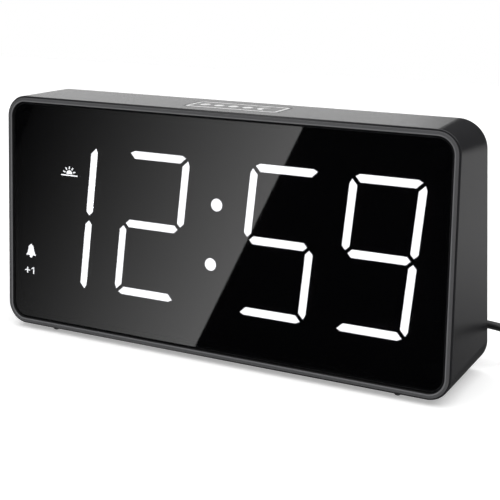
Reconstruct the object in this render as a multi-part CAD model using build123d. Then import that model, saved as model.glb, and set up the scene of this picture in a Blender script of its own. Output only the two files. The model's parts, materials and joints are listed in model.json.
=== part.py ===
"""Digital alarm clock: a wedge housing with a wide display, keys and a power lead. Millimetres, +Z up.

The origin is on the table under the middle of the clock. +X is to the right of someone who faces the
display and +Y points to the back of the clock.
"""
from build123d import *
import math
import os

# Housing: a sleeve whose front leans back and whose rear leans forward
width = 200.0
housing_height = 98.0
base_depth = 44.6
top_depth = 29.3
front_setback = 4.4
front_corner_radius = 9.0
rear_corner_radius = 11.0
wall = 2.2
rim = 1.2
front_edge_round = 0.2
rear_edge_round = 0.7

# Gaps and overruns
cut_overrun = 3.0
fit_gap = 0.1
seat_gap = 0.3
slide_gap = 0.2
stop_gap = 0.05

# Feet
foot_height = 2.2
foot_diameter = 3.6
foot_flat_diameter = 1.8
foot_peg_diameter = 2.2
foot_side_distance = 21.8
foot_edge_distance = 5.5
foot_bulge = 0.35

# Front frame and lens
frame_inset = 0.7
frame_proud = 0.6
frame_strip = 1.7
frame_edge_round = 0.25
opening_edge_round = 0.35
lens_recess = 1.0
lens_thickness = 2.0
lens_bevel = 0.8
ledge_width = 2.6
ledge_thickness = 2.0

# Display module
reflector_depth = 8.0
segment_depth = 2.5
board_thickness = 1.6
led_length = 3.0
led_width = 1.4
led_height = 0.8
led_spread_share = 0.27
chip_length = 18.0
chip_width = 7.5
chip_height = 2.4
chip_row_v = 46.0

# Digits: seven-segment, sheared to the right, their widths and places as shares of the clock's width
digit_width_share = 0.1505
hour_offset_share = 0.145
hour_ten_pitch_share = 0.221
minute_offset_share = 0.1415
minute_pitch_share = 0.20625
digit_height = 60.0
digit_slant = 5.6
stroke = 3.2
segment_gap = 1.5
corner_cut = 0.9
corner_run = 2.7
colon_diameter = 5.1
colon_offset = 12.0

# Indicator windows: width, height and places
daytime_size = (9.0, 4.8)
daytime_shift_share = 0.11
daytime_v = 68.1
alarm_size = (6.0, 7.0)
alarm_left = 9.6
alarm_v = 31.2
summer_size = (6.6, 3.2)
summer_left = 9.4
summer_v = 22.7

# Case screws and the posts that they pull together
boss_diameter = 7.0
boss_side_distance = 8.0
boss_edge_distance = 10.0
post_diameter = 8.8
post_floor = 3.0
screw_diameter = 2.8
screw_pilot_diameter = 2.9
screw_hole_diameter = 3.4
screw_length = 10.0
screw_head_diameter = 5.2
screw_head_height = 2.0
screw_slot_share = 0.33
counterbore_diameter = 5.8

# Rear cover
cover_thickness = 2.2
grille_hole_diameter = 1.8
grille_pitch = 3.2
grille_radius = 11.5
speaker_x_share = -0.29
speaker_v = 56.0
speaker_diameter = 28.0
speaker_rim_height = 1.6
speaker_depth = 5.6
speaker_magnet_diameter = 14.0
speaker_ring_wall = 1.2
speaker_ring_height = 3.0

# Control board behind the rear cover
control_standoff = 9.0
control_left_share = -0.435
control_right_share = 0.185
control_bottom = 7.0
control_top = 67.0
standoff_diameter = 5.2
standoff_inset = 4.0
right_standoff_drop = 12.0
low_standoff_shift = 20.0
small_screw_diameter = 1.8
small_pilot_diameter = 1.9
small_hole_diameter = 2.3
small_screw_length = 6.0
small_head_diameter = 3.8
small_head_height = 1.4

# Rear keys
key_names = ("time_key", "alarm_key", "hour_key", "minute_key")
key_diameter = 7.0
key_proud = 1.2
key_edge_round = 0.6
key_flange_width = 1.1
key_flange_thickness = 1.0
key_stem_diameter = 3.2
key_travel = 1.0
key_pitch = 17.0
key_row_v = 57.0
switch_side = 6.0
switch_body_height = 3.5
switch_height = 5.0
switch_plunger_diameter = 3.4

# Rear sliders
slider_names = ("alarm_slider", "dimmer_slider")
slider_pitch = 34.0
slider_row_v = 36.0
slider_side = 3.4
slider_proud = 0.8
slider_groove_share = 0.11
slider_groove_pitch_share = 0.25
slider_travel = 3.0
slider_flange_length = 11.0
slider_flange_width = 6.4
slider_flange_thickness = 0.8
slider_stem_side = 1.6
slider_switch_length = 9.0
slider_switch_width = 4.0
slider_switch_height = 3.5

# Battery cap, well and backup cell
battery_x_share = 0.31
battery_v = 40.0
cap_diameter = 24.0
cap_sunk = 0.2
cap_thickness = 3.2
cap_slot_length = 14.0
cap_slot_width = 2.0
cap_slot_depth = 1.0
cap_lug_reach = 1.2
cap_lug_height = 0.8
cap_lug_gap = 0.15
cap_lug_angle = 24.0
cap_notch_angle = 32.0
cap_turn = 60.0
cell_diameter = 20.0
cell_thickness = 3.2
well_wall = 1.5
well_floor = 1.5
cell_ring_wall = 1.0
contact_thickness = 0.4
contact_width = 4.0
contact_height = 1.2

# Power socket
jack_x_share = -0.38
jack_v = 12.4
jack_side = 10.0
jack_nose_diameter = 8.4
jack_bore_diameter = 5.7
jack_bore_depth = 9.8
jack_pin_diameter = 1.9
jack_pin_sunk = 1.0

# Snooze key on the top face
snooze_x = 3.3
snooze_length = 42.0
snooze_width = 15.4
snooze_corner = 2.4
snooze_edge_round = 0.15
snooze_flange_width = 1.2
snooze_flange_thickness = 1.0
snooze_travel = 0.8
snooze_stem_diameter = 3.4
snooze_switch_shift = 4.45
snooze_board_margin = 4.0
snooze_board_depth = 11.0
snooze_post_diameter = 5.0
snooze_post_span = 52.0
snooze_post_height = 9.0

# Ribbon cable between the boards
ribbon_width = 14.0
ribbon_thickness = 0.6
ribbon_x = -6.0
ribbon_front_v = 22.0
ribbon_rear_v = 42.0
ribbon_run = 3.5
ribbon_bend_radius = 2.6
connector_depth = 4.0
connector_height = 3.0
connector_margin = 1.5

# Power lead
cord_diameter = 3.2
plug_barrel_diameter = 5.5
plug_barrel_bore = 2.1
plug_barrel_length = 9.4
plug_body_diameter = 9.0
plug_body_length = 16.0
plug_exit_distance = 11.0
plug_round = 1.4
relief_length = 11.0
relief_root_diameter = 7.0
relief_tip_diameter = 4.4
relief_groove_count = 3
relief_groove_width = 1.2
relief_groove_depth = 0.5
relief_groove_pitch = 2.2
leave_run = 8.0
fall_way_shares = (0.336, 0.671)
fall_shares = (0.19, 0.58)
landing_run = 11.0
arc_share = 0.45
coil_turns = 4
coil_pitch = 3.75
coil_outer_radius = 25.0
coil_side_distance = 42.0
coil_rear_distance = 9.3
coil_step_share = 0.0001
tail_run = 9.0
tail_steps = 4
tie_thickness = 1.0
tie_width = 7.0
tie_gap = 0.15
tie_corner = 2.4
usb_body_width = 15.0
usb_body_height = 8.0
usb_body_length = 24.0
usb_body_round = 2.4
usb_neck_diameter = 5.6
usb_neck_length = 7.0
usb_shell_width = 12.0
usb_shell_height = 4.5
usb_shell_length = 12.0
usb_shell_wall = 0.5
usb_tongue_height = 1.8
usb_window_side = 2.2
usb_window_pitch = 5.2
usb_window_distance = 5.4
usb_side_distance = 35.2
usb_front_distance = 15.3
usb_run = 8.5

# Planes of the two sloping faces, each with x to the right of someone who looks at it
BASE = (Align.CENTER, Align.CENTER, Align.MIN)
rear_setback = base_depth - front_setback - top_depth
front_slant = math.hypot(housing_height, front_setback)
rear_slant = math.hypot(housing_height, rear_setback)
front_foot = Vector(0, -base_depth / 2, foot_height)
rear_foot = Vector(0, base_depth / 2, foot_height)
front_up = Vector(0, front_setback, housing_height).normalized()
rear_up = Vector(0, -rear_setback, housing_height).normalized()
front = Plane(front_foot, x_dir=(1, 0, 0), z_dir=Vector(1, 0, 0).cross(front_up))
rear = Plane(rear_foot, x_dir=(-1, 0, 0), z_dir=Vector(-1, 0, 0).cross(rear_up))
top_z = foot_height + housing_height

# Digits' widths and places from the clock's width
digit_width = width * digit_width_share
hour_offset = width * hour_offset_share
hour_ten_pitch = width * hour_ten_pitch_share
minute_offset = width * minute_offset_share
minute_pitch = width * minute_pitch_share

# Places along the rear, seen from behind
speaker_x = width * speaker_x_share
control_left = width * control_left_share
control_right = width * control_right_share
battery_x = width * battery_x_share
jack_x = width * jack_x_share

# Depths behind the front face and insets from its outline
opening_inset = frame_inset + frame_strip
ledge_inset = opening_inset + ledge_width
lens_back = lens_recess + lens_thickness
frame_back = lens_back + ledge_thickness
module_front = lens_back + seat_gap
board_front = module_front + reflector_depth
board_back = board_front + board_thickness
module_inset = ledge_inset + seat_gap

# Heights above the rear face, counted outwards
cover_inside = -cover_thickness
control_face = cover_inside - control_standoff
control_back = control_face - board_thickness


def on_front(u, v):
    """Place on the front face: u from its middle, v up from its bottom edge, z outwards."""
    return front.location * Pos(u, v)


def on_rear(x, v):
    """Place on the rear face, seen from behind: x from its middle, v up from its bottom edge, z outwards."""
    return rear.location * Pos(x, v)


def disc(diameter, low, high):
    return Pos(0, 0, low) * Cylinder(diameter / 2, high - low, align=BASE)


def block(length, depth, low, high):
    return Pos(0, 0, low) * Box(length, depth, high - low, align=BASE)


def rounded_block(length, depth, corner, low, high):
    return extrude(Pos(0, 0, low) * RectangleRounded(length, depth, corner), high - low)


def front_plate(inset, near, far):
    """Plate of the front's outline, less an inset, between two depths behind the front face."""
    outline = RectangleRounded(width - 2 * inset, front_slant - 2 * inset, front_corner_radius - inset)
    return extrude(on_front(0, front_slant / 2) * Pos(0, 0, -far) * outline, far - near)


def rear_plate(inset, low, high):
    """Plate of the rear's outline, less an inset, between two heights above the rear face."""
    outline = RectangleRounded(width - 2 * inset, rear_slant - 2 * inset, rear_corner_radius - inset)
    return extrude(on_rear(0, rear_slant / 2) * Pos(0, 0, low) * outline, high - low)


def wedge(inset):
    """Loft from the front's outline to the rear's, both less an inset."""
    near = Plane(front_foot + front_up * (front_slant / 2), x_dir=(1, 0, 0), z_dir=front.z_dir)
    far = Plane(rear_foot + rear_up * (rear_slant / 2), x_dir=(1, 0, 0), z_dir=-rear.z_dir)
    near_outline = RectangleRounded(width - 2 * inset, front_slant - 2 * inset, front_corner_radius - inset)
    far_outline = RectangleRounded(width - 2 * inset, rear_slant - 2 * inset, rear_corner_radius - inset)
    return loft([near * near_outline, far * far_outline], ruled=True)


# Places of the case screws on the front face
boss_places = [
    (side * (width / 2 - boss_side_distance), v)
    for side in (-1, 1)
    for v in (boss_edge_distance, front_slant - boss_edge_distance)
]

# Places of the feet on the table
foot_x = width / 2 - foot_side_distance
foot_y = base_depth / 2 - foot_edge_distance
foot_places = {
    "foot_front_left": (-foot_x, -foot_y),
    "foot_front_right": (foot_x, -foot_y),
    "foot_rear_left": (-foot_x, foot_y),
    "foot_rear_right": (foot_x, foot_y),
}

# Places of the rear keys and sliders
key_places = [((i - (len(key_names) - 1) / 2) * key_pitch, key_row_v) for i in range(len(key_names))]
slider_places = [
    ((i - (len(slider_names) - 1) / 2) * slider_pitch, slider_row_v) for i in range(len(slider_names))
]

# Places of the control board's standoffs
standoff_places = [
    (control_left + standoff_inset, control_top - standoff_inset),
    (control_left + low_standoff_shift + standoff_inset, control_bottom + standoff_inset),
    (control_right - standoff_inset, control_top - standoff_inset - right_standoff_drop),
    (control_right - standoff_inset, control_bottom + standoff_inset),
]

# Snooze key's place on the top face
snooze_y = -base_depth / 2 + front_setback + top_depth / 2
snooze_switch_y = snooze_y + snooze_switch_shift
snooze_ceiling = top_z - wall
snooze_board_top = snooze_ceiling - snooze_post_height
snooze_post_places = [(snooze_x + side * snooze_post_span / 2, snooze_switch_y) for side in (-1, 1)]


def make_housing():
    body = wedge(0)
    body = fillet(body.faces().sort_by(Axis.Y)[-1].edges(), rear_edge_round)
    body -= front_plate(-cut_overrun, -cut_overrun, frame_proud)
    body = fillet(body.faces().sort_by(Axis.Y)[0].edges(), front_edge_round)
    body -= wedge(wall)
    body -= front_plate(rim, -cut_overrun, frame_back)
    body -= rear_plate(rim, cover_inside, cut_overrun)
    for x, y in snooze_post_places:
        body += Pos(x, y) * disc(snooze_post_diameter, snooze_board_top, top_z - wall / 2)
        body -= Pos(x, y) * disc(small_pilot_diameter, snooze_board_top - cut_overrun, snooze_ceiling)
    opening = rounded_block(
        snooze_length + 2 * slide_gap,
        snooze_width + 2 * slide_gap,
        snooze_corner + slide_gap,
        snooze_ceiling - cut_overrun,
        top_z + cut_overrun,
    )
    body -= Pos(snooze_x, snooze_y) * opening
    for x, y in foot_places.values():
        body -= Pos(x, y) * disc(foot_peg_diameter, foot_height - cut_overrun, foot_height + rim)
    return body


def make_front_frame():
    flange = front_plate(frame_inset, 0, frame_proud)
    flange = fillet(flange.faces().sort_by(Axis.Y)[0].edges(), frame_edge_round)
    body = flange + front_plate(rim + fit_gap, frame_proud, frame_back)
    body -= front_plate(ledge_inset, -cut_overrun, frame_back + cut_overrun)
    for u, v in boss_places:
        body += on_front(u, v) * disc(boss_diameter, -board_front, -lens_back)
    body -= front_plate(opening_inset, -cut_overrun, lens_back)
    body = fillet(opening_edges(body), opening_edge_round)
    for u, v in boss_places:
        body -= on_front(u, v) * disc(screw_pilot_diameter, -board_front - cut_overrun, -frame_back)
    return body


def opening_edges(body):
    """Edges round the lens opening on the frame's front face."""
    face = body.faces().sort_by(front.location.z_axis)[-1]
    return face.inner_wires()[0].edges()


def make_display_lens():
    lens = front_plate(opening_inset + fit_gap, lens_recess, lens_back)
    return chamfer(lens.faces().sort_by(Axis.Y)[0].edges(), lens_bevel)


# Outlines of one digit's segments before its shear, from the digit's middle
half_width = digit_width / 2
half_height = digit_height / 2
mitre = segment_gap / math.sqrt(2)


def level_segment(side):
    """Top (side 1) or bottom (side -1) segment, mitred at its ends with the outer corners cut."""
    outer = half_width - corner_run - mitre
    tip = half_width - corner_cut - mitre
    inner = half_width - stroke - mitre
    right = [
        (outer, side * half_height),
        (tip, side * (half_height - corner_cut)),
        (inner, side * (half_height - stroke)),
    ]
    return right + [(-x, y) for x, y in reversed(right)]


def upright_segment(side, rise):
    """Left (side -1) or right (side 1) segment of the upper (rise 1) or lower (rise -1) half."""
    return [
        (side * (half_width - stroke), rise * (half_height - stroke - mitre)),
        (side * (half_width - corner_cut), rise * (half_height - corner_cut - mitre)),
        (side * half_width, rise * (half_height - corner_run - mitre)),
        (side * half_width, rise * (mitre + stroke / 2)),
        (side * (half_width - stroke / 2), rise * mitre),
        (side * (half_width - stroke), rise * (mitre + stroke / 2)),
    ]


def middle_segment():
    tip = half_width - stroke / 2 - mitre
    shoulder = half_width - stroke - mitre
    right = [(shoulder, stroke / 2), (tip, 0), (shoulder, -stroke / 2)]
    return right + [(-x, -y) for x, y in right]


segments = {
    "top": level_segment(1),
    "upper_left": upright_segment(-1, 1),
    "upper_right": upright_segment(1, 1),
    "middle": middle_segment(),
    "lower_left": upright_segment(-1, -1),
    "lower_right": upright_segment(1, -1),
    "bottom": level_segment(-1),
}

# Digits of the time 12:59, each with its middle, the segments that it has and the ones that are dark
digits = (
    (-hour_offset - hour_ten_pitch, ("upper_right", "lower_right"), ()),
    (-hour_offset, tuple(segments), ("upper_left", "lower_right")),
    (minute_offset, tuple(segments), ("upper_right", "lower_left")),
    (minute_offset + minute_pitch, tuple(segments), ("lower_left",)),
)
shear = math.tan(math.radians(digit_slant))


def segment_points(name, middle):
    return [(middle + x + shear * y, front_slant / 2 + y) for x, y in segments[name]]


def segment_prism(name, middle, near, far, gap):
    """One segment as a prism between two depths, its sides drawn in by a gap."""
    face = make_face(Polyline(*segment_points(name, middle), close=True))
    if gap:
        face = offset(face, -gap, kind=Kind.INTERSECTION)
    return extrude(front.location * Pos(0, 0, -far) * face, far - near)


def colon_places():
    return [(side * colon_offset * shear, front_slant / 2 + side * colon_offset) for side in (-1, 1)]


def window_places():
    """Middle, width and height of each indicator window on the front face."""
    daytime_u = -hour_offset - hour_ten_pitch + daytime_shift_share * digit_width
    return [
        (daytime_u, daytime_v, *daytime_size),
        (alarm_left - width / 2, alarm_v, *alarm_size),
        (summer_left - width / 2, summer_v, *summer_size),
    ]


def segment_list(dark):
    return [
        (name, middle)
        for middle, names, dark_names in digits
        for name in names
        if (name in dark_names) == dark
    ]


def make_segment_reflector():
    body = front_plate(module_inset, module_front, board_front)
    for u, v in boss_places:
        body -= on_front(u, v) * disc(boss_diameter + 2 * seat_gap, -board_front - cut_overrun, -lens_back)
    cuts = [
        segment_prism(name, middle, lens_back, board_front + cut_overrun, 0)
        for dark in (False, True)
        for name, middle in segment_list(dark)
    ]
    for u, v in colon_places():
        cuts.append(on_front(u, v) * disc(colon_diameter, -board_front - cut_overrun, -lens_back))
    for u, v, length, height in window_places():
        cuts.append(on_front(u, v) * block(length, height, -board_front - cut_overrun, -lens_back))
    return body - cuts


def make_segments(dark):
    far = module_front + segment_depth
    pieces = [
        segment_prism(name, middle, module_front, far, fit_gap / 2) for name, middle in segment_list(dark)
    ]
    if not dark:
        for u, v in colon_places():
            pieces.append(on_front(u, v) * disc(colon_diameter - fit_gap, -far, -module_front))
    return Compound([piece.solid() for piece in pieces])


def make_indicator_windows():
    far = module_front + segment_depth
    pieces = [
        on_front(u, v) * block(length - fit_gap, height - fit_gap, -far, -module_front)
        for u, v, length, height in window_places()
    ]
    return Compound([piece.solid() for piece in pieces])


def make_display_board():
    body = front_plate(module_inset, board_front, board_back)
    for u, v in boss_places:
        body -= on_front(u, v) * disc(screw_hole_diameter, -board_back - cut_overrun, -lens_back)
    return body


def led_places():
    """Middle and turn of each lamp: two under each segment, one under each dot and window."""
    places = []
    for dark in (False, True):
        for name, middle in segment_list(dark):
            upright = name.startswith(("upper", "lower"))
            reach = (half_height if upright else digit_width) * led_spread_share
            points = segment_points(name, middle)
            u = sum(x for x, y in points) / len(points)
            v = sum(y for x, y in points) / len(points)
            turn = 90 - digit_slant if upright else 0
            for side in (-1, 1):
                across = reach * shear if upright else reach
                along = reach if upright else 0
                places.append((u + side * across, v + side * along, turn))
    places += [(u, v, 0) for u, v in colon_places()]
    places += [(u, v, 0) for u, v, length, height in window_places()]
    return places


def make_display_leds():
    lamp = block(led_length, led_width, -board_front, -board_front + led_height)
    lamps = [on_front(u, v) * Rot(0, 0, turn) * lamp for u, v, turn in led_places()]
    return Compound([lamp.solid() for lamp in lamps])


def make_driver_chips():
    chips = [
        on_front(middle, chip_row_v) * block(chip_length, chip_width, -board_back - chip_height, -board_back)
        for middle in (-hour_offset, minute_offset)
    ]
    return Compound([chip.solid() for chip in chips])


def make_rear_cover():
    body = rear_plate(rim + fit_gap, cover_inside, 0)
    inside = rear_plate(-cut_overrun, -base_depth, cover_inside / 2)
    for u, v in boss_places:
        body += on_front(u, v) * disc(post_diameter, -base_depth, -board_back) & inside
    body += make_standoffs() + make_speaker_ring() + make_battery_well()
    for u, v in boss_places:
        seat = -board_back - post_floor
        body -= on_front(u, v) * disc(screw_hole_diameter, seat - cut_overrun, -lens_back)
        body -= on_front(u, v) * disc(counterbore_diameter, -base_depth - cut_overrun, seat)
    for x, v in standoff_places:
        body -= on_rear(x, v) * disc(small_pilot_diameter, control_face - cut_overrun, cover_inside)
    for x, v in key_places:
        body -= on_rear(x, v) * disc(key_diameter + 2 * slide_gap, cover_inside - cut_overrun, cut_overrun)
    slot_length = slider_side + slider_travel + 2 * slide_gap
    slot_width = slider_side + 2 * slide_gap
    for x, v in slider_places:
        slot = block(slot_length, slot_width, cover_inside - cut_overrun, cut_overrun)
        body -= on_rear(x + slider_travel / 2, v) * slot
    nose_hole = disc(jack_nose_diameter + 2 * fit_gap, cover_inside - cut_overrun, cut_overrun)
    body -= on_rear(jack_x, jack_v) * nose_hole
    body -= [
        on_rear(x, v) * disc(grille_hole_diameter, cover_inside - cut_overrun, cut_overrun)
        for x, v in grille_places()
    ]
    return body - make_battery_opening()


def make_standoffs():
    return [
        on_rear(x, v) * disc(standoff_diameter, control_face, cover_inside / 2) for x, v in standoff_places
    ]


def make_speaker_ring():
    outer = speaker_diameter + 2 * (fit_gap + speaker_ring_wall)
    ring = disc(outer, cover_inside - speaker_ring_height, cover_inside / 2)
    ring -= disc(speaker_diameter + 2 * fit_gap, cover_inside - speaker_ring_height, cover_inside)
    return [on_rear(speaker_x, speaker_v) * ring]


def grille_places():
    """Holes on a triangular grid inside a circle."""
    row_height = grille_pitch * math.sqrt(3) / 2
    rows = int(grille_radius / row_height)
    places = []
    for row in range(-rows, rows + 1):
        across = math.sqrt(grille_radius**2 - (row * row_height) ** 2)
        shift = grille_pitch / 2 if row % 2 else 0
        columns = int((across + shift) / grille_pitch)
        for column in range(-columns, columns + 1):
            x = column * grille_pitch + shift
            if abs(x) <= across:
                places.append((speaker_x + x, speaker_v + row * row_height))
    return places


# Heights of the battery well's pieces above the rear face
cap_bottom = -cap_sunk - cap_thickness
lug_top = cover_inside - cap_lug_gap
cell_top = cap_bottom - seat_gap
cell_bottom = cell_top - cell_thickness
well_bottom = cell_bottom - contact_height
well_diameter = cap_diameter + 2 * (cap_lug_reach + 2 * seat_gap)


def make_battery_well():
    well = disc(well_diameter + 2 * well_wall, well_bottom - well_floor, cover_inside / 2)
    well -= disc(well_diameter, well_bottom, cover_inside)
    ring_diameter = cell_diameter + 2 * (slide_gap + cell_ring_wall)
    ring = disc(ring_diameter, well_bottom - well_floor, cell_top - cell_thickness / 2)
    ring -= disc(cell_diameter + 2 * slide_gap, well_bottom, cell_top)
    return [on_rear(battery_x, battery_v) * (well + ring)]


def lug_sector(radius, angle, low, high):
    """Two opposite sectors of a disc, each of one angle, middle on the X axis."""
    reach = radius / math.cos(math.radians(angle / 2))
    half = reach * math.sin(math.radians(angle / 2))
    run = reach * math.cos(math.radians(angle / 2))
    bow_tie = [
        make_face(Polyline((0, 0), (side * run, -half), (side * run, half), close=True)) for side in (-1, 1)
    ]
    bars = extrude(Pos(0, 0, low) * (bow_tie[0] + bow_tie[1]), high - low)
    return bars & disc(2 * radius, low, high)


def make_battery_opening():
    hole = disc(cap_diameter + 2 * slide_gap, cover_inside - stop_gap, cut_overrun)
    notch_radius = cap_diameter / 2 + cap_lug_reach + seat_gap
    notches = lug_sector(notch_radius, cap_notch_angle, cover_inside - stop_gap, cut_overrun)
    return on_rear(battery_x, battery_v) * (hole + Rot(0, 0, cap_turn) * notches)


def make_battery_cap():
    body = disc(cap_diameter, cap_bottom, -cap_sunk)
    lugs = lug_sector(cap_diameter / 2 + cap_lug_reach, cap_lug_angle, lug_top - cap_lug_height, lug_top)
    body += lugs
    slot_outline = Pos(0, 0, -cap_sunk - cap_slot_depth) * SlotOverall(cap_slot_length, cap_slot_width)
    body -= extrude(slot_outline, cut_overrun)
    return on_rear(battery_x, battery_v) * body


def make_backup_cell():
    return on_rear(battery_x, battery_v) * disc(cell_diameter, cell_bottom, cell_top)


def make_battery_contacts():
    """A bent leaf under the cell and one that stands beside its ring, on the well's floor."""
    half = cell_diameter / 2 - contact_width
    leaf = Polyline(
        (-half, well_bottom),
        (-half / 2, well_bottom),
        (0, cell_bottom - contact_thickness),
        (half / 2, cell_bottom - contact_thickness),
    )
    foot = Polyline(
        (-half, well_bottom + contact_thickness),
        (-half / 2, well_bottom + contact_thickness),
        (0, cell_bottom),
        (half / 2, cell_bottom),
    )
    outline = make_face(leaf + foot + Line(leaf @ 0, foot @ 0) + Line(leaf @ 1, foot @ 1))
    bent = extrude(Plane.XZ * outline, contact_width / 2, both=True)
    side_room = (well_diameter - cell_diameter) / 2 - slide_gap - cell_ring_wall
    upright_x = (well_diameter - side_room) / 2
    upright_top = cell_bottom + cell_thickness / 2
    upright = Pos(upright_x, 0) * block(contact_thickness, contact_width, well_bottom, upright_top)
    place = on_rear(battery_x, battery_v)
    return Compound([(place * bent).solid(), (place * upright).solid()])


def make_screws(places, length, diameter, head_diameter, head_height):
    """Pan-head screws whose heads' undersides are at the given places, points towards +Z of each place."""
    shank = disc(diameter, 0, length)
    head = fillet(disc(head_diameter, -head_height, 0).faces().sort_by(Axis.Z)[0].edges(), head_height / 2)
    slot_width = diameter * screw_slot_share
    slot = block(head_diameter * 2, slot_width, -head_height - cut_overrun, -head_height / 2)
    screw = shank + head - slot
    return Compound([(place * screw).solid() for place in places])


def make_case_screws():
    places = [on_front(u, v) * Pos(0, 0, -board_back - post_floor) for u, v in boss_places]
    return make_screws(places, screw_length, screw_diameter, screw_head_diameter, screw_head_height)


small_screw = (small_screw_length, small_screw_diameter, small_head_diameter, small_head_height)


def make_board_screws():
    places = [on_rear(x, v) * Pos(0, 0, control_back) for x, v in standoff_places]
    return make_screws(places, *small_screw)


def make_snooze_screws():
    places = [Pos(x, y, snooze_board_top - board_thickness) for x, y in snooze_post_places]
    return make_screws(places, *small_screw)


def make_control_board():
    middle_x = (control_left + control_right) / 2
    middle_v = (control_bottom + control_top) / 2
    plate = block(control_right - control_left, control_top - control_bottom, control_back, control_face)
    body = on_rear(middle_x, middle_v) * plate
    for x, v in standoff_places:
        hole = disc(small_hole_diameter, control_back - cut_overrun, control_face + cut_overrun)
        body -= on_rear(x, v) * hole
    return body


def push_switch():
    """Push switch standing on z = 0."""
    case = block(switch_side, switch_side, 0, switch_body_height)
    return case + disc(switch_plunger_diameter, 0, switch_height)


def make_control_switches():
    places = [on_rear(x, v) * Pos(0, 0, control_face) for x, v in key_places]
    return Compound([(place * push_switch()).solid() for place in places])


def make_slider_switches():
    top = control_face + slider_switch_height
    body = block(slider_switch_length, slider_switch_width, control_face, top)
    return Compound([(on_rear(x + slider_travel / 2, v) * body).solid() for x, v in slider_places])


def make_key(x, v):
    flange_top = cover_inside - stop_gap
    flange_bottom = flange_top - key_flange_thickness
    stem_bottom = control_face + switch_height + key_travel + stop_gap
    body = disc(key_diameter, flange_bottom, key_proud)
    body = fillet(body.faces().sort_by(Axis.Z)[-1].edges(), key_edge_round)
    body += disc(key_diameter + 2 * key_flange_width, flange_bottom, flange_top)
    body += disc(key_stem_diameter, stem_bottom, flange_bottom)
    return on_rear(x, v) * body


def make_slider(x, v):
    flange_top = cover_inside - stop_gap
    flange_bottom = flange_top - slider_flange_thickness
    stem_bottom = control_face + slider_switch_height + stop_gap
    body = block(slider_side, slider_side, flange_bottom, slider_proud)
    groove_width = slider_side * slider_groove_share
    for shift in (-1, 0, 1):
        groove = block(groove_width, slider_side * 2, slider_proud / 2, slider_proud + cut_overrun)
        body -= Pos(shift * slider_side * slider_groove_pitch_share, 0) * groove
    flange = block(slider_flange_length, slider_flange_width, flange_bottom, flange_top)
    body += Pos(slider_travel / 2, 0) * flange
    body += block(slider_stem_side, slider_stem_side, stem_bottom, flange_bottom)
    return on_rear(x, v) * body


def make_dc_jack():
    body = block(jack_side, jack_side, control_face, cover_inside - stop_gap)
    body += disc(jack_nose_diameter, control_face, 0)
    body -= disc(jack_bore_diameter, -jack_bore_depth, cut_overrun)
    body += disc(jack_pin_diameter, control_face, -jack_pin_sunk)
    return on_rear(jack_x, jack_v) * body


def make_speaker():
    rim_radius = speaker_diameter / 2
    magnet_radius = speaker_magnet_diameter / 2
    rim_back = cover_inside - speaker_rim_height
    basket_back = cover_inside - speaker_depth / 2
    back = cover_inside - speaker_depth
    cone_radius = rim_radius - speaker_rim_height
    profile = Polyline(
        (0, back),
        (magnet_radius, back),
        (magnet_radius, basket_back),
        (cone_radius, rim_back),
        (rim_radius, rim_back),
        (rim_radius, cover_inside),
        (cone_radius, cover_inside),
        (magnet_radius / 2, basket_back),
        (0, basket_back),
        close=True,
    )
    return on_rear(speaker_x, speaker_v) * revolve(make_face(Plane.XZ * profile), Axis.Z)


def make_snooze_key():
    flange_top = snooze_ceiling - stop_gap
    flange_bottom = flange_top - snooze_flange_thickness
    stem_bottom = snooze_board_top + switch_height + snooze_travel + stop_gap
    cap = rounded_block(snooze_length, snooze_width, snooze_corner, flange_bottom, top_z)
    cap = fillet(cap.faces().sort_by(Axis.Z)[-1].edges(), snooze_edge_round)
    reach = 2 * snooze_flange_width
    flange_size = (snooze_length + reach, snooze_width + reach)
    cap += rounded_block(*flange_size, snooze_corner, flange_bottom, flange_top)
    body = Pos(snooze_x, snooze_y) * cap
    return body + Pos(snooze_x, snooze_switch_y) * disc(snooze_stem_diameter, stem_bottom, flange_bottom)


def make_snooze_board():
    length = snooze_post_span + 2 * snooze_board_margin
    plate = block(length, snooze_board_depth, snooze_board_top - board_thickness, snooze_board_top)
    body = Pos(snooze_x, snooze_switch_y) * plate
    for x, y in snooze_post_places:
        hole = disc(small_hole_diameter, snooze_board_top - board_thickness - cut_overrun, snooze_board_top)
        body -= Pos(x, y) * hole
    return body


def make_snooze_switch():
    return Pos(snooze_x, snooze_switch_y, snooze_board_top) * push_switch()


# Ribbon cable: from the display board's connector to the control board's connector
ribbon_start = on_front(ribbon_x, ribbon_front_v) * Pos(0, 0, -board_back - connector_height)
ribbon_end = on_rear(-ribbon_x, ribbon_rear_v) * Pos(0, 0, control_back - connector_height)


def make_ribbon_connectors():
    length = ribbon_width + 2 * connector_margin
    display_side = ribbon_start * block(length, connector_depth, 0, connector_height)
    control_side = ribbon_end * block(length, connector_depth, 0, connector_height)
    return Compound([display_side.solid(), control_side.solid()])


def make_ribbon_cable():
    start = ribbon_start.position
    finish = ribbon_end.position
    leave = -front.z_dir
    arrive = -rear.z_dir
    path = FilletPolyline(
        start, start + leave * ribbon_run, finish + arrive * ribbon_run, finish, radius=ribbon_bend_radius
    )
    profile = Plane(start, x_dir=(1, 0, 0), z_dir=leave) * Rectangle(ribbon_width, ribbon_thickness)
    return sweep(profile, path=path)


def make_foot(x, y):
    dome = Polyline((0, 0), (foot_flat_diameter / 2, 0))
    curve = SagittaArc((foot_flat_diameter / 2, 0), (foot_diameter / 2, foot_height), -foot_bulge)
    peg = Polyline(
        (foot_diameter / 2, foot_height),
        ((foot_peg_diameter - fit_gap) / 2, foot_height),
        ((foot_peg_diameter - fit_gap) / 2, foot_height + rim - fit_gap),
        (0, foot_height + rim - fit_gap),
        (0, 0),
    )
    outline = make_face(Plane.XZ * (dome + curve + peg))
    return Pos(x, y) * revolve(outline, Axis.Z)


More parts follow.
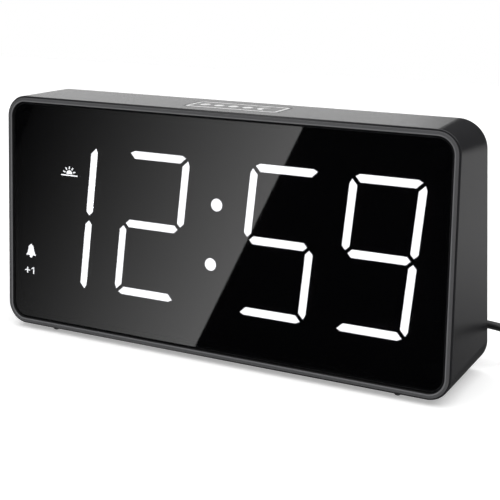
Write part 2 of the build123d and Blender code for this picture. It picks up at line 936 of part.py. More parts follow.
# Power lead: the plug's middle line, then the cord's route in the part's own frame
plug = on_rear(jack_x, jack_v)
plug_face = seat_gap
exit_place = plug * Pos(0, 0, plug_exit_distance)
relief_start = exit_place.position + Vector(plug_body_diameter / 2, 0, 0)
cord_start = relief_start + Vector(relief_length, 0, 0)
cord_radius = cord_diameter / 2
coil_low_z = cord_radius + tie_thickness + tie_gap
coil_centre = (width / 2 + coil_side_distance, base_depth / 2 - coil_rear_distance)
coil_entry = Vector(coil_centre[0], coil_centre[1] + coil_outer_radius, coil_low_z)
coil_exit = coil_entry + Vector(0, 0, coil_pitch)
usb_x = coil_centre[0] + usb_side_distance
usb_place = Vector(usb_x, coil_centre[1] - usb_front_distance, usb_body_height / 2)
usb_plane = Plane(usb_place, x_dir=(1, 0, 0), z_dir=(0, -1, 0))
usb_tip = usb_place + Vector(0, usb_neck_length, 0)
cord_lead = Vector(cord_diameter, 0, 0)


def cord_route():
    """From the plug's relief, over to the side and down to the coil's lower layer."""
    leave = cord_start + Vector(leave_run, 0, 0)
    land = coil_entry - cord_lead - Vector(landing_run, 0, 0)
    span = land - leave
    falls = [
        leave + Vector(span.X * way, span.Y * fall, span.Z * fall)
        for way, fall in zip(fall_way_shares, fall_shares)
    ]
    return [cord_start, leave, *falls, land, coil_entry - cord_lead]


def tail_route():
    """From the coil's upper layer round a quarter of an ellipse to the far plug."""
    leave = coil_exit + cord_lead + Vector(tail_run, 0, 0)
    land = usb_tip + Vector(0, usb_run, 0)
    span = land - leave
    bends = []
    for i in range(1, tail_steps):
        angle = math.pi / 2 * i / tail_steps
        way = Vector(span.X * math.sin(angle), span.Y * (1 - math.cos(angle)), span.Z * i / tail_steps)
        bends.append(leave + way)
    return [coil_exit + cord_lead, leave, *bends, land, usb_tip]


def corner_radii(route):
    """Largest arcs that the runs of a route allow, and prints them."""
    radii = []
    for before, corner, after in zip(route, route[1:], route[2:]):
        turn = math.radians((corner - before).get_angle(after - corner))
        shorter = min((corner - before).length, (after - corner).length)
        radii.append(arc_share * shorter / math.tan(turn / 2))
    print("cord radii", [round(radius, 1) for radius in radii])
    return radii


def make_cord(route):
    path = FilletPolyline(*route, radius=corner_radii(route))
    profile = Plane(route[0], z_dir=route[1] - route[0]) * Circle(cord_radius)
    tube = sweep(profile, path=path)
    print_volume("cord", tube, path)
    return tube


def print_volume(name, tube, path):
    section = math.pi * cord_radius**2
    print(name, "volume", round(tube.volume, 1), "section times length", round(section * path.length, 1))
    print(name, "length", round(path.length, 1))


def coil_point(turns):
    """Middle line of the coil: in along the lower layer, up while it turns back, out along the upper one."""
    radius = coil_outer_radius - coil_pitch * (coil_turns - abs(coil_turns - turns))
    angle = math.radians(90 - 360 * turns)
    climb = min(max((turns - coil_turns) * 2 + 0.5, 0), 1)
    height = coil_low_z + coil_pitch * (1 - math.cos(math.pi * climb)) / 2
    return Vector(
        coil_centre[0] + radius * math.cos(angle), coil_centre[1] + radius * math.sin(angle), height
    )


def coil_direction(turns):
    """Direction of the coil's middle line: square to the ends, along the turns between them."""
    if turns in (0, 2 * coil_turns):
        return Vector(1, 0, 0)
    return (coil_point(turns + coil_step_share) - coil_point(turns - coil_step_share)).normalized()


def biarc(start, start_direction, finish, finish_direction):
    """Two arcs that leave one place and reach another in given directions."""
    chord = finish - start
    both = start_direction + finish_direction
    spread = 2 * (1 - start_direction.dot(finish_direction))
    along = chord.dot(both)
    reach = (-along + math.sqrt(along**2 + spread * chord.dot(chord))) / spread
    joint = (start + start_direction * reach + finish - finish_direction * reach) / 2
    first = TangentArc(start, joint, tangent=start_direction)
    second = TangentArc(joint, finish, tangent=first % 1)
    return [first, second]


def make_coil():
    steps = 4 * 2 * coil_turns
    edges = [Line(coil_entry - cord_lead, coil_entry)]
    for i in range(steps):
        low, high = i / 4, (i + 1) / 4
        edges += biarc(coil_point(low), coil_direction(low), coil_point(high), coil_direction(high))
    edges.append(Line(coil_exit, coil_exit + cord_lead))
    path = Wire([edge.edge() for edge in edges])
    profile = Plane(coil_entry - cord_lead, z_dir=(1, 0, 0)) * Circle(cord_radius)
    tube = sweep(profile, path=path)
    print_volume("coil", tube, path)
    print_coil_gap()
    return tube


def print_coil_gap():
    """Least gap of the coil to itself, from points along its middle line at least half a turn apart."""
    count = 40
    points = [coil_point(i / count) for i in range(2 * coil_turns * count + 1)]
    least = min(
        (points[i] - points[j]).length
        for i in range(len(points))
        for j in range(i + count // 2, len(points))
    )
    print("coil least gap", round(least - cord_diameter, 2))


def make_cord_tie():
    """Band round all the turns, at the side of the coil away from the clock's rear."""
    inner = coil_outer_radius - coil_pitch * coil_turns
    room = cord_radius + tie_gap
    length = coil_outer_radius - inner + 2 * room
    height = coil_pitch + 2 * room
    band = RectangleRounded(length + 2 * tie_thickness, height + 2 * tie_thickness, tie_corner)
    band -= RectangleRounded(length, height, tie_corner - tie_thickness)
    middle = (coil_centre[0], coil_centre[1] - (coil_outer_radius + inner) / 2, coil_low_z + coil_pitch / 2)
    return extrude(Plane(middle, x_dir=(0, 1, 0), z_dir=(1, 0, 0)) * band, tie_width / 2, both=True)


def make_dc_plug_barrel():
    body = disc(plug_barrel_diameter, -plug_barrel_length, plug_face)
    return plug * (body - disc(plug_barrel_bore, -plug_barrel_length - cut_overrun, plug_face))


def make_dc_plug_body():
    body = disc(plug_body_diameter, plug_face, plug_face + plug_body_length)
    body = plug * fillet(body.faces().sort_by(Axis.Z)[-1].edges(), plug_round)
    length = plug_body_diameter / 2 + relief_length
    relief = make_relief(relief_root_diameter, length)
    return body + Plane(exit_place.position, z_dir=(1, 0, 0)) * relief


def make_relief(root_diameter, length):
    """Tapered sleeve up to the cord, with grooves near its tip that let it bend."""
    sleeve = Cone(root_diameter / 2, relief_tip_diameter / 2, length, align=BASE)
    for i in range(relief_groove_count):
        low = length - relief_groove_pitch * (i + 1)
        high = low + relief_groove_width
        local_diameter = root_diameter + (relief_tip_diameter - root_diameter) * high / length
        core = disc(local_diameter - 2 * relief_groove_depth, low, high)
        sleeve -= disc(2 * root_diameter, low, high) - core
    return sleeve


def usb_block(length, height, corner, low, high):
    """Bar along -Y from the lead's end, between two distances."""
    return usb_plane * rounded_block(length, height, corner, low, high)


def make_usb_plug_body():
    body = usb_block(usb_body_width, usb_body_height, usb_body_round, 0, usb_body_length)
    neck = make_relief(usb_neck_diameter, usb_neck_length)
    return body + Plane(usb_place, z_dir=(0, 1, 0)) * neck


def make_usb_plug_shell():
    far = usb_body_length + usb_shell_length
    shell = usb_block(usb_shell_width, usb_shell_height, usb_shell_wall, usb_body_length, far)
    inner_width = usb_shell_width - 2 * usb_shell_wall
    inner_height = usb_shell_height - 2 * usb_shell_wall
    inner_low = usb_body_length + usb_shell_wall
    shell -= usb_block(inner_width, inner_height, usb_shell_wall / 2, inner_low, far + cut_overrun)
    window_low = usb_body_length + usb_window_distance
    window = block(usb_window_side, 2 * usb_shell_height, window_low, window_low + usb_window_side)
    for side in (-1, 1):
        shell -= usb_plane * Pos(side * usb_window_pitch / 2, 0) * window
    tongue_place = Pos(0, 0, (usb_tongue_height - inner_height) / 2)
    tongue_far = far - usb_shell_wall
    tongue = usb_block(inner_width, usb_tongue_height, usb_shell_wall / 2, usb_body_length, tongue_far)
    return shell + tongue_place * tongue


parts = {
    "housing": make_housing(),
    "front_frame": make_front_frame(),
    "display_lens": make_display_lens(),
    "segment_reflector": make_segment_reflector(),
    "lit_segments": make_segments(False),
    "unlit_segments": make_segments(True),
    "indicator_windows": make_indicator_windows(),
    "display_board": make_display_board(),
    "display_leds": make_display_leds(),
    "driver_chips": make_driver_chips(),
    "rear_cover": make_rear_cover(),
    "case_screws": make_case_screws(),
    "control_board": make_control_board(),
    "board_screws": make_board_screws(),
    "control_switches": make_control_switches(),
    "slider_switches": make_slider_switches(),
    "dc_jack": make_dc_jack(),
    "speaker": make_speaker(),
    "ribbon_cable": make_ribbon_cable(),
    "ribbon_connectors": make_ribbon_connectors(),
    "snooze_key": make_snooze_key(),
    "snooze_board": make_snooze_board(),
    "snooze_switch": make_snooze_switch(),
    "snooze_screws": make_snooze_screws(),
    "battery_cap": make_battery_cap(),
    "backup_cell": make_backup_cell(),
    "battery_contacts": make_battery_contacts(),
    "dc_plug_barrel": make_dc_plug_barrel(),
    "dc_plug_body": make_dc_plug_body(),
    "power_cord": make_cord(cord_route()),
    "power_cord_coil": make_coil(),
    "power_cord_tail": make_cord(tail_route()),
    "cord_tie": make_cord_tie(),
    "usb_plug_body": make_usb_plug_body(),
    "usb_plug_shell": make_usb_plug_shell(),
}
for key_name, (x, v) in zip(key_names, key_places):
    parts[key_name] = make_key(x, v)
for slider_name, (x, v) in zip(slider_names, slider_places):
    parts[slider_name] = make_slider(x, v)
for foot_name, (x, y) in foot_places.items():
    parts[foot_name] = make_foot(x, y)

os.makedirs("parts", exist_ok=True)
for name, shape in parts.items():
    export_step(shape, f"parts/{name}.step")
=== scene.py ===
import json
import math

import bmesh
import bpy
from mathutils import Matrix, Vector


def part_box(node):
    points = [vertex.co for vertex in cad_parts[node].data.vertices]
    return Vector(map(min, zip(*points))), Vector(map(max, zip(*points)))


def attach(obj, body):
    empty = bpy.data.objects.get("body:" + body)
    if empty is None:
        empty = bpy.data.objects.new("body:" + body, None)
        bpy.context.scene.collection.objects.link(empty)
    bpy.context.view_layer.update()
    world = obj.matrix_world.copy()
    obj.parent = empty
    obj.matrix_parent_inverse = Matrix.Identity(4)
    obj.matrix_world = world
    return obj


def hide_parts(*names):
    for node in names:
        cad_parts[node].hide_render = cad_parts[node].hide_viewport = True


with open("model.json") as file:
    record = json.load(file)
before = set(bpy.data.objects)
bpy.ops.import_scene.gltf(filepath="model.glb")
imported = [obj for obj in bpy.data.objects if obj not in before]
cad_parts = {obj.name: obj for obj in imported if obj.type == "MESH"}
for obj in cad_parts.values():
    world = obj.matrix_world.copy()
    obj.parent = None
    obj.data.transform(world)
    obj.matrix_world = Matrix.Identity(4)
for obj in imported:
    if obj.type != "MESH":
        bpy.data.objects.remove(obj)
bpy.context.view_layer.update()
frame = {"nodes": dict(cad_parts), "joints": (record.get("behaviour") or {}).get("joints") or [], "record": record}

mm = 0.001
to_front = Vector((0, -1, 0))
to_rear = Vector((0, 1, 0))
upwards = Vector((0, 0, 1))

scene = bpy.context.scene
scene.view_settings.view_transform = "Standard"
nodes = frame["nodes"]
joints = {joint["name"]: joint for joint in frame["joints"]}

# Flat faces: how near to one plane points lie, how well normals agree, and how upright a level face's is
flat_tolerance = 0.01 * mm
flat_share = 0.9999
level_share = 0.9

# Steps that round forms are drawn with
lead_steps = 5
disc_segments = 32
corner_segments = 6

# Camera, at the photograph's viewing angle
camera_place = Vector((228.6, -407.5, 166.0)) * mm
camera_turn = math.radians(28.52)
camera_tilt = math.radians(10.17)
camera_lens = 85.61
camera_sensor = 36.0
camera_rise = -0.2
camera_near = 0.01
camera_far = 60.0

# Power lead: route points, then a coil of two layers that is wound inwards and then outwards
lead_diameter = 3.2 * mm
lead_route = [
    Vector((91.5, 31.862, 15.740)) * mm,
    Vector((99.5, 31.862, 15.740)) * mm,
    Vector((109.009, 33.028, 13.272)) * mm,
    Vector((118.489, 35.422, 8.206)) * mm,
    Vector((127.8, 38.0, 2.75)) * mm,
    Vector((138.8, 38.0, 2.75)) * mm,
]
tail_route = [
    Vector((145.2, 38.0, 6.5)) * mm,
    Vector((154.2, 38.0, 6.5)) * mm,
    Vector((163.002, 36.112, 5.875)) * mm,
    Vector((170.463, 30.736, 5.25)) * mm,
    Vector((175.449, 22.691, 4.625)) * mm,
    Vector((177.2, 13.2, 4.0)) * mm,
    Vector((177.2, 4.7, 4.0)) * mm,
]
coil_centre = Vector((142.0, 13.0, 2.75)) * mm
coil_radius = 25.0 * mm
coil_pitch = 3.75 * mm
coil_start = math.radians(90)
coil_turns = 4
coil_climb_turns = 0.5
coil_points_per_turn = 24

# Printed mark on the snooze key
print_thickness = 0.03 * mm
print_sunk = 0.02 * mm
print_inset = 0.6 * mm
print_line = 1.2 * mm
print_corner = 2.0 * mm
dot_count = 4
dot_radius = 2.1 * mm
dot_pitch = 6.4 * mm
dot_row_middle = -5.0 * mm
moon_radius = 3.4 * mm
moon_middle = 12.6 * mm
moon_cut = 1.0 * mm

# Lit signs behind the lens, placed from the middle of the display
sign_thickness = 0.1 * mm
sign_sunk = 0.02 * mm
sun_place = Vector((-69.9, 17.55, 0)) * mm
sun_radius = 1.5 * mm
sun_ray_count = 5
sun_ray_start = 2.1 * mm
sun_ray_length = 1.1 * mm
sun_line = 0.5 * mm
horizon_length = 8.4 * mm
horizon_drop = 0.6 * mm
bell_place = Vector((-90.15, -17.25, 0)) * mm
bell_width = 5.0 * mm
bell_height = 4.9 * mm
# Right half of a bell, from the clapper under its rim to the knob on top: shares of width and height
bell_outline_shares = (
    (0.07, -0.2),
    (0.13, -0.12),
    (0.13, 0),
    (0.5, 0),
    (0.5, 0.05),
    (0.37, 0.24),
    (0.3, 0.48),
    (0.26, 0.74),
    (0.19, 0.87),
    (0.07, 0.93),
    (0.06, 1.0),
)
plus_one_place = Vector((-90.6, -26.35, 0)) * mm
plus_one_line = 0.45 * mm
plus_one_height = 2.9 * mm
plus_one_flag = 0.85 * mm
plus_one_flag_drop = 0.5 * mm
plus_size = 2.6 * mm

# The hour's one: segments left of a line, which run on because no level ones need room at their ends
hour_one_right = -50.0 * mm
hour_one_rise = 1.4 * mm
hour_one_drop = 2.3 * mm
digit_slant = math.radians(5.6)

# Printed signs on the rear cover, placed from the keys, sliders, cap and plug that they belong to
rear_line = 0.45 * mm
rear_bell_share = 0.78
key_sign_gap = 4.7 * mm
clock_radius = 2.2 * mm
clock_hand = 1.25 * mm
chevron_half_height = 1.6 * mm
chevron_reach = 1.4 * mm
chevron_line = 0.7 * mm
chevron_pitch = 1.7 * mm
slider_travel = joints["alarm_slide"]["range_m"][1]
slider_sign_gap = 5.9 * mm
slider_mark_gap = 6.0 * mm
off_radius = 1.1 * mm
on_height = 2.2 * mm
bright_radius = 0.9 * mm
dim_radius = 0.5 * mm
lamp_ray_count = 8
lamp_ray_gap = 0.4 * mm
lamp_ray_share = 0.9
polarity_rise = 9.5 * mm
polarity_pitch = 4.6 * mm
polarity_radius = 1.5 * mm
polarity_bar = 1.5 * mm
polarity_dot = 0.65 * mm
cap_turn = math.radians(joints["battery_cap_turn"]["range_deg"][1])
cap_mark_gap = 2.4 * mm
cap_mark_radius = 0.95 * mm
cap_arrow_inset = 1.0 * mm
cap_arrow_size = 1.2 * mm

# Contacts inside the lead's far plug
contact_count = 4
contact_length = 7.0 * mm
contact_width = 1.1 * mm
contact_height = 0.2 * mm
contact_pitch = 2.3 * mm
contact_setback = 1.2 * mm
tongue_rise = 0.05 * mm

# Lit pieces: strong enough to stay white behind the lens
lit_strength = 50.0

# Grain: the noise's detail and the range taken from it, and how much rougher its peaks are than the mean
grain_detail = 2.0
grain_low = 0.35
grain_high = 0.65
sheen_spread_share = 0.12

# Circuit board: pitches between the branches of a track
track_run_pitches = 4

# Radians that a wave pattern takes over a metre at a scale of 1
wave_rate = 20.0

# Lens: its polished front and its milled bevel, and the cosines to the front between which they meet
lens_hex = "#040405"
lens_roughness = 0.02
lens_bevel_hex = "#2a2a2c"
lens_bevel_roughness = 0.5
lens_bevel_facing = 0.85
lens_front_facing = 0.95

# Frame: a painted highlight on a band round its opening, a gap away from the lens's flat front. The stops take
# # the colour from painted shade on the wall inside the opening, over the painted highlight, to the darker face.
# # The depth passes the whole frame.
highlight_gap = 0.9 * mm
highlight_width = 0.6 * mm
highlight_corner = 6.6 * mm
highlight_depth = 100.0 * mm
painted_light_stops = ((0.02, "#585858"), (0.12, "#ffffff"), (0.9, "#ffffff"), (1.0, "#c4c4c4"))

# Studio floor
floor_size = 1.8
floor_lift = 0.36

# Studio card: its slanted edge as the display mirrors it, from the middle of the lens, and its fade
card_edge_top = Vector((37.74, 43.78, 0)) * mm
card_edge_bottom = Vector((-3.79, -40.48, 0)) * mm
card_width = 125.0 * mm
card_overrun_share = 0.8
card_distance = 0.4
card_fade_far = 0.26
card_fade_edge = 1.55
card_fade_power = 2.2

# Studio lamp
softbox_width = 3.2
softbox_depth = 3.2
softbox_power = 52.0
softbox_place = Vector((0.5, -0.7, 1.8))

# Studio sky: its plain level, then what only reflections see, by the x, y and z of where they point.
# Bands of light over z lie behind the clock, and the sky goes from the first to the second over x.
# There are also a dome, the ground and a glow at both flanks, and it is dark in front.
sky_level = 0.36
band_reach = 0.5
top_band = ((-0.5, 0.02), (-0.1, 0.4), (0.05, 0.78), (0.16, 0.78), (0.25, 0.03), (0.5, 0.02))
side_band = ((-0.5, 0.02), (-0.34, 0.07), (-0.25, 0.26), (-0.16, 0.27), (-0.02, 0.03), (0.5, 0.02))
aside_start = -0.355
aside_end = -0.27
behind_start = -0.1
behind_end = 0.4
behind_low = 0.02
behind_high = 1.4
dome_level = 0.5
dome_start = 0.4
dome_end = 0.6
ground_level = 0.4
ground_start = -0.42
ground_end = -0.8
flank_level = 0.3
flank_start = 0.66
flank_end = 0.86


def face_frame(node, direction):
    """Frame on a node's largest flat face towards a direction: its middle, x to the right, z outwards."""
    mesh = nodes[node].data
    normal = max(mesh.polygons, key=lambda p: p.area * max(p.normal.dot(direction), 0)).normal.copy()
    level = abs(normal.z) > level_share
    right = Vector((1, 0, 0)) if level else upwards.cross(normal).normalized()
    turn = Matrix((right, normal.cross(right), normal))
    points = [
        turn @ mesh.vertices[i].co
        for p in mesh.polygons
        if p.normal.dot(normal) > flat_share
        for i in p.vertices
    ]
    outer = max(p.z for p in points)
    flat = [p for p in points if outer - p.z < flat_tolerance]
    low = Vector([min(p[i] for p in flat) for i in range(3)])
    high = Vector([max(p[i] for p in flat) for i in range(3)])
    middle = (low + high) / 2
    place = Matrix.Translation(turn.transposed() @ middle) @ turn.transposed().to_4x4()
    return place, high - low


def on_coil(t):
    """Coil's middle line after t turns: in along the lower layer, up, and out along the upper one."""
    radius = coil_radius - coil_pitch * (coil_turns - abs(coil_turns - t))
    angle = coil_start - math.tau * t
    climb = min(max((t - coil_turns) / coil_climb_turns + 0.5, 0), 1)
    rise = coil_pitch * (1 - math.cos(math.pi * climb)) / 2
    return coil_centre + Vector((radius * math.cos(angle), radius * math.sin(angle), rise))


def make_camera():
    camera = bpy.data.cameras.new("camera")
    camera.lens = camera_lens
    camera.sensor_width = camera_sensor
    camera.shift_y = camera_rise
    camera.clip_start = camera_near
    camera.clip_end = camera_far
    holder = bpy.data.objects.new("camera", camera)
    holder.location = camera_place
    holder.rotation_euler = (math.pi / 2 - camera_tilt, 0, camera_turn)
    scene.collection.objects.link(holder)
    scene.camera = holder


def make_lead():
    count = 2 * coil_turns * coil_points_per_turn
    coil = [on_coil(i / coil_points_per_turn) for i in range(count + 1)]
    places = lead_route + coil + tail_route
    curve = bpy.data.curves.new("power_lead", "CURVE")
    curve.dimensions = "3D"
    curve.bevel_depth = lead_diameter / 2
    curve.bevel_resolution = lead_steps
    curve.resolution_u = lead_steps
    curve.use_fill_caps = True
    spline = curve.splines.new("NURBS")
    spline.points.add(len(places) - 1)
    for point, place in zip(spline.points, places):
        point.co = (*place, 1)
    spline.order_u = 3
    spline.use_endpoint_u = True
    lead = bpy.data.objects.new("power_lead", curve)
    scene.collection.objects.link(lead)
    return lead


make_camera()
lead = make_lead()
display, lens_size = face_frame("display_lens", to_front)


# Materials

def linear(hex_code):
    """Linear colour of an sRGB hex value."""
    shares = [int(hex_code[i:i + 2], 16) / 255 for i in (1, 3, 5)]
    return [s / 12.92 if s <= 0.04045 else ((s + 0.055) / 1.055) ** 2.4 for s in shares] + [1.0]


def add_node(tree, kind, inputs=None, settings=None, stops=()):
    """Node with its inputs, each a value or another node's socket, its settings and a ramp's stops."""
    node = tree.nodes.new(kind)
    for name, value in (settings or {}).items():
        setattr(node, name, value)
    for name, value in (inputs or {}).items():
        if isinstance(value, bpy.types.NodeSocket):
            tree.links.new(value, node.inputs[name])
        else:
            node.inputs[name].default_value = value
    for position, _ in stops[1:-1]:
        node.color_ramp.elements.new(position)
    for i, (position, hex_code) in enumerate(stops):
        node.color_ramp.elements[i].position = position
        node.color_ramp.elements[i].color = linear(hex_code)
    return node


def finish(name, hex_code, roughness, extra=None):
    """Material with one Principled shader, whose extra sockets are set too, and that shader."""
    material = bpy.data.materials.new(name)
    material.use_nodes = True
    shader = material.node_tree.nodes["Principled BSDF"]
    values = {"Base Color": linear(hex_code), "Roughness": roughness, **(extra or {})}
    for socket, value in values.items():
        shader.inputs[socket].default_value = value
    return material, shader


def grained(name, valley_hex, peak_hex, roughness, grain, depth, extra=None):
    """Grained surface: noise of a grain width lifts it by a depth, and its peaks are paler and rougher."""
    material, shader = finish(name, peak_hex, roughness, extra)
    tree = material.node_tree
    place = add_node(tree, "ShaderNodeTexCoord").outputs["Object"]
    noise = add_node(
        tree,
        "ShaderNodeTexNoise",
        {"Vector": place, "Scale": 1 / grain, "Detail": grain_detail},
    )
    height = noise.outputs["Fac"]
    colour = add_node(
        tree,
        "ShaderNodeValToRGB",
        {"Fac": height},
        stops=((grain_low, valley_hex), (grain_high, peak_hex)),
    )
    sheen = add_node(
        tree,
        "ShaderNodeMapRange",
        {
            "Value": height,
            "From Min": grain_low,
            "From Max": grain_high,
            "To Min": roughness * (1 - sheen_spread_share),
            "To Max": roughness * (1 + sheen_spread_share),
        },
    )
    bump = add_node(tree, "ShaderNodeBump", {"Height": height, "Strength": 1.0, "Distance": depth})
    tree.links.new(colour.outputs["Color"], shader.inputs["Base Color"])
    tree.links.new(sheen.outputs["Result"], shader.inputs["Roughness"])
    tree.links.new(bump.outputs["Normal"], shader.inputs["Normal"])
    return material


def etched(name, mask_hex, track_hex, roughness, pitch, track):
    """Circuit board: fields of solder mask between paler lines, where copper tracks lie under it."""
    material, shader = finish(name, mask_hex, roughness)
    tree = material.node_tree
    place = add_node(tree, "ShaderNodeTexCoord").outputs["Object"]
    upright = add_node(tree, "ShaderNodeMapping", {"Vector": place, "Rotation": (math.pi / 2, 0, 0)})
    tracks = add_node(
        tree,
        "ShaderNodeTexBrick",
        {
            "Vector": upright.outputs["Vector"],
            "Color1": linear(mask_hex),
            "Color2": linear(mask_hex),
            "Mortar": linear(track_hex),
            "Scale": 1.0,
            "Mortar Size": track / 2,
            "Brick Width": track_run_pitches * pitch,
            "Row Height": pitch,
        },
    )
    tree.links.new(tracks.outputs["Color"], shader.inputs["Base Color"])
    return material


def corded(name, valley_hex, peak_hex, roughness, pitch, depth):
    """Flat cable: a row of round wires side by side along X, with painted shade in the valleys between them."""
    material, shader = finish(name, peak_hex, roughness)
    tree = material.node_tree
    place = add_node(tree, "ShaderNodeTexCoord").outputs["Object"]
    wires = add_node(tree, "ShaderNodeTexWave", {"Vector": place, "Scale": math.tau / (wave_rate * pitch)})
    height = wires.outputs["Fac"]
    # Painted shade: the colour goes darker down into the valleys between the wires
    colour = add_node(
        tree, "ShaderNodeValToRGB", {"Fac": height}, stops=((0, valley_hex), (1, peak_hex))
    )
    bump = add_node(tree, "ShaderNodeBump", {"Height": height, "Strength": 1.0, "Distance": depth})
    tree.links.new(colour.outputs["Color"], shader.inputs["Base Color"])
    tree.links.new(bump.outputs["Normal"], shader.inputs["Normal"])
    return material


def make_frame_plastic():
    """Blasted ABS whose colour follows the distance from a rounded rectangle just outside the lens, with painted
    shade on the wall inside the opening and a painted highlight along its edge.
    """
    material = grained(
        "abs_blasted_painted_edge",
        "#6b6b6d",
        "#717173",
        roughness=0.45,
        grain=0.5 * mm,
        depth=0.006 * mm,
        extra={"Specular IOR Level": 0.2},
    )
    tree = material.node_tree
    into = tree.nodes["Principled BSDF"].inputs["Base Color"]
    plain = into.links[0].from_socket
    corner = Vector((highlight_corner, 0, highlight_corner))
    core = Vector((lens_size.x / 2 + highlight_gap, highlight_depth, lens_size.y / 2 + highlight_gap)) - corner
    steps = (
        ("SUBTRACT", display.translation),
        ("ABSOLUTE", Vector()),
        ("SUBTRACT", core),
        ("MAXIMUM", Vector()),
    )
    reach = add_node(tree, "ShaderNodeTexCoord").outputs["Object"]
    for operation, amount in steps:
        step = add_node(tree, "ShaderNodeVectorMath", {0: reach, 1: amount}, {"operation": operation})
        reach = step.outputs["Vector"]
    outside = add_node(tree, "ShaderNodeVectorMath", {0: reach}, {"operation": "LENGTH"})
    share = add_node(
        tree,
        "ShaderNodeMapRange",
        {
            "Value": outside.outputs["Value"],
            "From Min": highlight_corner,
            "From Max": highlight_corner + highlight_width,
        },
    )
    # Painted light: shade on the wall inside the opening, a highlight along its edge, then the face at a lower
    # level
    shade = add_node(tree, "ShaderNodeValToRGB", {"Fac": share.outputs["Result"]}, stops=painted_light_stops)
    painted_colour = add_node(
        tree,
        "ShaderNodeVectorMath",
        {0: plain, 1: shade.outputs["Color"]},
        {"operation": "MULTIPLY"},
    )
    tree.links.new(painted_colour.outputs["Vector"], into)
    return material


def make_smoked_lens():
    """Smoked acrylic that turns from matt to polished as the surface comes to face the front."""
    material, shader = finish("acrylic_smoked", lens_hex, lens_roughness, {"IOR": 1.49, "Alpha": 0.85})
    tree = material.node_tree
    normal = add_node(tree, "ShaderNodeTexCoord").outputs["Normal"]
    facing = add_node(
        tree,
        "ShaderNodeVectorMath",
        {0: normal, 1: display.to_3x3().col[2]},
        {"operation": "DOT_PRODUCT"},
    )
    colour = add_node(
        tree,
        "ShaderNodeValToRGB",
        {"Fac": facing.outputs["Value"]},
        stops=((lens_bevel_facing, lens_bevel_hex), (lens_front_facing, lens_hex)),
    )
    sheen = add_node(
        tree,
        "ShaderNodeMapRange",
        {
            "Value": facing.outputs["Value"],
            "From Min": lens_bevel_facing,
            "From Max": lens_front_facing,
            "To Min": lens_bevel_roughness,
            "To Max": lens_roughness,
        },
    )
    tree.links.new(colour.outputs["Color"], shader.inputs["Base Color"])
    tree.links.new(sheen.outputs["Result"], shader.inputs["Roughness"])
    return material


def make_lit_diffuser():
    """Opal polycarbonate that glows by itself."""
    glow = {"Emission Color": linear("#fbfcff"), "Emission Strength": lit_strength}
    return finish("polycarbonate_opal_lit", "#f3f5f8", roughness=0.5, extra=glow)[0]


